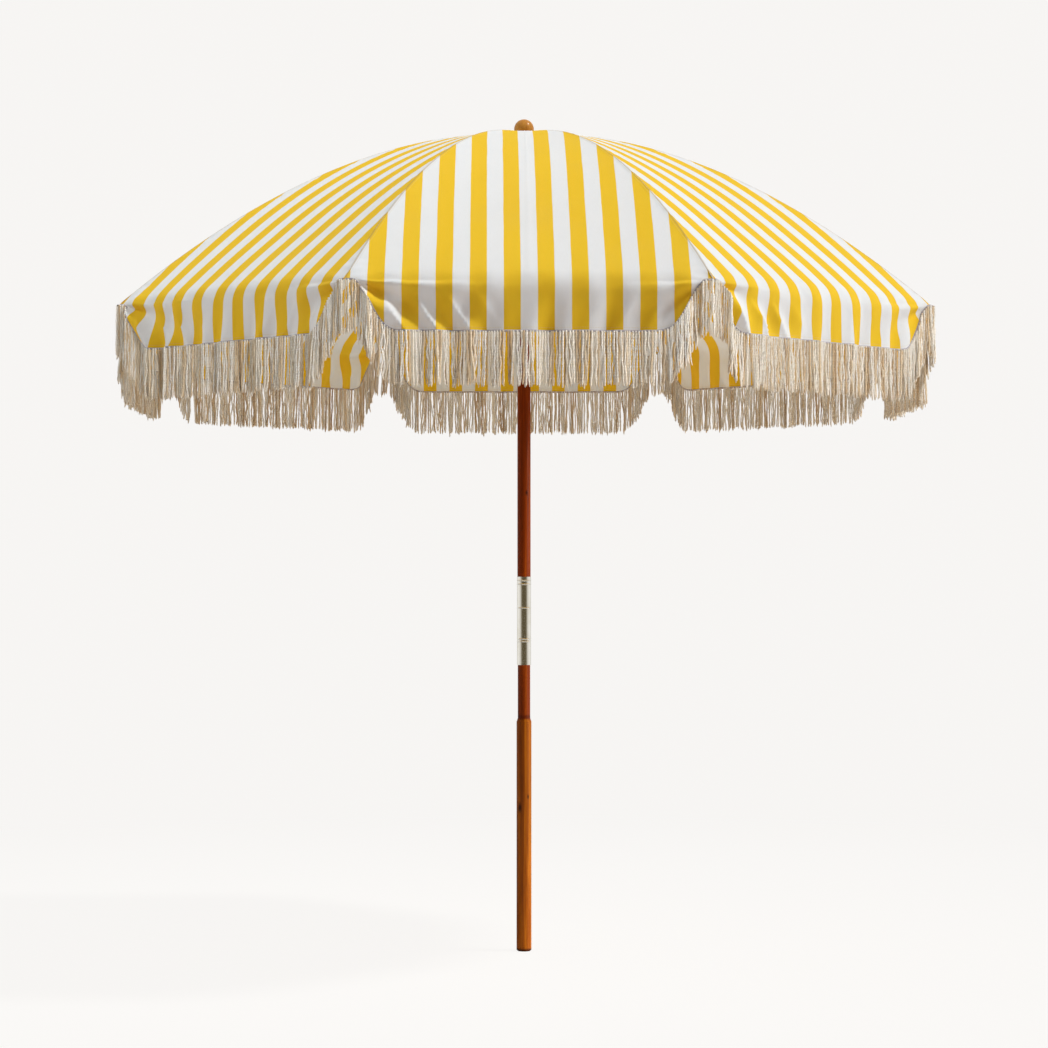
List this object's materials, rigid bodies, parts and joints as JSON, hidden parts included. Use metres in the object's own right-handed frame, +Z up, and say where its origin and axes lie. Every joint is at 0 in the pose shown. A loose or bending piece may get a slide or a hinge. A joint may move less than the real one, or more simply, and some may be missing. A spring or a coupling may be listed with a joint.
{
  "type": "beach umbrella",
  "caption": "Striped octagonal beach umbrella with a scalloped valance and cotton fringe on a two-piece wooden pole, shown open; the canopy folds.",
  "frame": {"origin": "middle of the pole's foot", "axes": "+Z up along the pole; the middle of one canopy panel faces -Y, with a rib each side of it"},
  "size_m": [1.8492, 1.8492, 2.012],
  "materials": {
    "pole_wood": "reddish-brown stain under gloss varnish, dark knots",
    "ball_wood": "honey-coloured, satin varnish",
    "sleeve_metal": "bright plated, lightly brushed round",
    "hub_plastic": "matt moulded",
    "frame_steel": "plated, satin",
    "tip_plastic": "matt moulded",
    "canvas": "plain-weave canvas, golden yellow and white stripes",
    "cotton_fringe": "twisted cotton cords, natural off-white"
  },
  "bodies": {
    "lower_mast": {"lower_pole": "pole_wood", "lower_ferrule": "sleeve_metal"},
    "upper_mast": {"upper_ferrule": "sleeve_metal", "upper_pole": "pole_wood", "crown_hub": "hub_plastic", "hub_pins": "frame_steel", "crown_patch": "canvas", "finial": "ball_wood"},
    "runner": {"runner": "hub_plastic", "clamp_screw": "hub_plastic"},
    "rib_1": {"rib_1": "frame_steel", "rib_tip_1": "tip_plastic", "canopy_1": "canvas"},
    "strut_1": {"strut_1": "frame_steel"},
    "hem_1": {"valance_1": "canvas", "fringe_1": "cotton_fringe"},
    "rib_2": {"rib_2": "frame_steel", "rib_tip_2": "tip_plastic", "canopy_2": "canvas"},
    "strut_2": {"strut_2": "frame_steel"},
    "hem_2": {"valance_2": "canvas", "fringe_2": "cotton_fringe"},
    "rib_3": {"rib_3": "frame_steel", "rib_tip_3": "tip_plastic", "canopy_3": "canvas"},
    "strut_3": {"strut_3": "frame_steel"},
    "hem_3": {"valance_3": "canvas", "fringe_3": "cotton_fringe"},
    "rib_4": {"rib_4": "frame_steel", "rib_tip_4": "tip_plastic", "canopy_4": "canvas"},
    "strut_4": {"strut_4": "frame_steel"},
    "hem_4": {"valance_4": "canvas", "fringe_4": "cotton_fringe"},
    "rib_5": {"rib_5": "frame_steel", "rib_tip_5": "tip_plastic", "canopy_5": "canvas"},
    "strut_5": {"strut_5": "frame_steel"},
    "hem_5": {"valance_5": "canvas", "fringe_5": "cotton_fringe"},
    "rib_6": {"rib_6": "frame_steel", "rib_tip_6": "tip_plastic", "canopy_6": "canvas"},
    "strut_6": {"strut_6": "frame_steel"},
    "hem_6": {"valance_6": "canvas", "fringe_6": "cotton_fringe"},
    "rib_7": {"rib_7": "frame_steel", "rib_tip_7": "tip_plastic", "canopy_7": "canvas"},
    "strut_7": {"strut_7": "frame_steel"},
    "hem_7": {"valance_7": "canvas", "fringe_7": "cotton_fringe"},
    "rib_8": {"rib_8": "frame_steel", "rib_tip_8": "tip_plastic", "canopy_8": "canvas"},
    "strut_8": {"strut_8": "frame_steel"},
    "hem_8": {"valance_8": "canvas", "fringe_8": "cotton_fringe"}
  },
  "joints": [
    {"name": "pole_slide", "type": "slide", "parent": "lower_mast", "child": "upper_mast", "axis": [0, 0, 1], "range_m": [0, 0.14]},
    {"name": "runner_slide", "type": "slide", "parent": "upper_mast", "child": "runner", "axis": [0, 0, 1], "range_m": [-0.57583, 0], "deforming": ["canopy_1", "canopy_2", "canopy_3", "canopy_4", "canopy_5", "canopy_6", "canopy_7", "canopy_8", "valance_1", "valance_2", "valance_3", "valance_4", "valance_5", "valance_6", "valance_7", "valance_8", "fringe_1", "fringe_2", "fringe_3", "fringe_4", "fringe_5", "fringe_6", "fringe_7", "fringe_8"]},
    {"name": "rib_fold_1", "type": "hinge", "parent": "upper_mast", "child": "rib_1", "pos_m": [-0.01225, -0.02956, 1.962], "axis": [0.9239, -0.3827, 0], "range_deg": [-0.02, 64.02]},
    {"name": "strut_swing_1", "type": "hinge", "parent": "rib_1", "child": "strut_1", "pos_m": [-0.17986, -0.43422, 1.85932], "axis": [0.9239, -0.3827, 0], "range_deg": [-112.09, 0.02]},
    {"name": "hem_swing_1", "type": "hinge", "parent": "rib_1", "child": "hem_1", "pos_m": [-0.38268, -0.92388, 1.523], "axis": [0.9239, -0.3827, 0], "range_deg": [-64.02, 0.02]},
    {"name": "rib_fold_2", "type": "hinge", "parent": "upper_mast", "child": "rib_2", "pos_m": [0.01225, -0.02956, 1.962], "axis": [0.9239, 0.3827, 0], "range_deg": [-0.02, 64.02]},
    {"name": "strut_swing_2", "type": "hinge", "parent": "rib_2", "child": "strut_2", "pos_m": [0.17986, -0.43422, 1.85932], "axis": [0.9239, 0.3827, 0], "range_deg": [-112.09, 0.02]},
    {"name": "hem_swing_2", "type": "hinge", "parent": "rib_2", "child": "hem_2", "pos_m": [0.38268, -0.92388, 1.523], "axis": [0.9239, 0.3827, 0], "range_deg": [-64.02, 0.02]},
    {"name": "rib_fold_3", "type": "hinge", "parent": "upper_mast", "child": "rib_3", "pos_m": [0.02956, -0.01225, 1.962], "axis": [0.3827, 0.9239, 0], "range_deg": [-0.02, 64.02]},
    {"name": "strut_swing_3", "type": "hinge", "parent": "rib_3", "child": "strut_3", "pos_m": [0.43422, -0.17986, 1.85932], "axis": [0.3827, 0.9239, 0], "range_deg": [-112.09, 0.02]},
    {"name": "hem_swing_3", "type": "hinge", "parent": "rib_3", "child": "hem_3", "pos_m": [0.92388, -0.38268, 1.523], "axis": [0.3827, 0.9239, 0], "range_deg": [-64.02, 0.02]},
    {"name": "rib_fold_4", "type": "hinge", "parent": "upper_mast", "child": "rib_4", "pos_m": [0.02956, 0.01225, 1.962], "axis": [-0.3827, 0.9239, 0], "range_deg": [-0.02, 64.02]},
    {"name": "strut_swing_4", "type": "hinge", "parent": "rib_4", "child": "strut_4", "pos_m": [0.43422, 0.17986, 1.85932], "axis": [-0.3827, 0.9239, 0], "range_deg": [-112.09, 0.02]},
    {"name": "hem_swing_4", "type": "hinge", "parent": "rib_4", "child": "hem_4", "pos_m": [0.92388, 0.38268, 1.523], "axis": [-0.3827, 0.9239, 0], "range_deg": [-64.02, 0.02]},
    {"name": "rib_fold_5", "type": "hinge", "parent": "upper_mast", "child": "rib_5", "pos_m": [0.01225, 0.02956, 1.962], "axis": [-0.9239, 0.3827, 0], "range_deg": [-0.02, 64.02]},
    {"name": "strut_swing_5", "type": "hinge", "parent": "rib_5", "child": "strut_5", "pos_m": [0.17986, 0.43422, 1.85932], "axis": [-0.9239, 0.3827, 0], "range_deg": [-112.09, 0.02]},
    {"name": "hem_swing_5", "type": "hinge", "parent": "rib_5", "child": "hem_5", "pos_m": [0.38268, 0.92388, 1.523], "axis": [-0.9239, 0.3827, 0], "range_deg": [-64.02, 0.02]},
    {"name": "rib_fold_6", "type": "hinge", "parent": "upper_mast", "child": "rib_6", "pos_m": [-0.01225, 0.02956, 1.962], "axis": [-0.9239, -0.3827, 0], "range_deg": [-0.02, 64.02]},
    {"name": "strut_swing_6", "type": "hinge", "parent": "rib_6", "child": "strut_6", "pos_m": [-0.17986, 0.43422, 1.85932], "axis": [-0.9239, -0.3827, 0], "range_deg": [-112.09, 0.02]},
    {"name": "hem_swing_6", "type": "hinge", "parent": "rib_6", "child": "hem_6", "pos_m": [-0.38268, 0.92388, 1.523], "axis": [-0.9239, -0.3827, 0], "range_deg": [-64.02, 0.02]},
    {"name": "rib_fold_7", "type": "hinge", "parent": "upper_mast", "child": "rib_7", "pos_m": [-0.02956, 0.01225, 1.962], "axis": [-0.3827, -0.9239, 0], "range_deg": [-0.02, 64.02]},
    {"name": "strut_swing_7", "type": "hinge", "parent": "rib_7", "child": "strut_7", "pos_m": [-0.43422, 0.17986, 1.85932], "axis": [-0.3827, -0.9239, 0], "range_deg": [-112.09, 0.02]},
    {"name": "hem_swing_7", "type": "hinge", "parent": "rib_7", "child": "hem_7", "pos_m": [-0.92388, 0.38268, 1.523], "axis": [-0.3827, -0.9239, 0], "range_deg": [-64.02, 0.02]},
    {"name": "rib_fold_8", "type": "hinge", "parent": "upper_mast", "child": "rib_8", "pos_m": [-0.02956, -0.01225, 1.962], "axis": [0.3827, -0.9239, 0], "range_deg": [-0.02, 64.02]},
    {"name": "strut_swing_8", "type": "hinge", "parent": "rib_8", "child": "strut_8", "pos_m": [-0.43422, -0.17986, 1.85932], "axis": [0.3827, -0.9239, 0], "range_deg": [-112.09, 0.02]},
    {"name": "hem_swing_8", "type": "hinge", "parent": "rib_8", "child": "hem_8", "pos_m": [-0.92388, -0.38268, 1.523], "axis": [0.3827, -0.9239, 0], "range_deg": [-64.02, 0.02]}
  ],
  "couplings": [
    {"joint": "rib_fold_1", "follows": "runner_slide", "rad_per_m": -1.9398},
    {"joint": "strut_swing_1", "follows": "runner_slide", "rad_per_m": 3.3969},
    {"joint": "hem_swing_1", "follows": "runner_slide", "rad_per_m": 1.9398},
    {"joint": "rib_fold_2", "follows": "runner_slide", "rad_per_m": -1.9398},
    {"joint": "strut_swing_2", "follows": "runner_slide", "rad_per_m": 3.3969},
    {"joint": "hem_swing_2", "follows": "runner_slide", "rad_per_m": 1.9398},
    {"joint": "rib_fold_3", "follows": "runner_slide", "rad_per_m": -1.9398},
    {"joint": "strut_swing_3", "follows": "runner_slide", "rad_per_m": 3.3969},
    {"joint": "hem_swing_3", "follows": "runner_slide", "rad_per_m": 1.9398},
    {"joint": "rib_fold_4", "follows": "runner_slide", "rad_per_m": -1.9398},
    {"joint": "strut_swing_4", "follows": "runner_slide", "rad_per_m": 3.3969},
    {"joint": "hem_swing_4", "follows": "runner_slide", "rad_per_m": 1.9398},
    {"joint": "rib_fold_5", "follows": "runner_slide", "rad_per_m": -1.9398},
    {"joint": "strut_swing_5", "follows": "runner_slide", "rad_per_m": 3.3969},
    {"joint": "hem_swing_5", "follows": "runner_slide", "rad_per_m": 1.9398},
    {"joint": "rib_fold_6", "follows": "runner_slide", "rad_per_m": -1.9398},
    {"joint": "strut_swing_6", "follows": "runner_slide", "rad_per_m": 3.3969},
    {"joint": "hem_swing_6", "follows": "runner_slide", "rad_per_m": 1.9398},
    {"joint": "rib_fold_7", "follows": "runner_slide", "rad_per_m": -1.9398},
    {"joint": "strut_swing_7", "follows": "runner_slide", "rad_per_m": 3.3969},
    {"joint": "hem_swing_7", "follows": "runner_slide", "rad_per_m": 1.9398},
    {"joint": "rib_fold_8", "follows": "runner_slide", "rad_per_m": -1.9398},
    {"joint": "strut_swing_8", "follows": "runner_slide", "rad_per_m": 3.3969},
    {"joint": "hem_swing_8", "follows": "runner_slide", "rad_per_m": 1.9398}
  ]
}
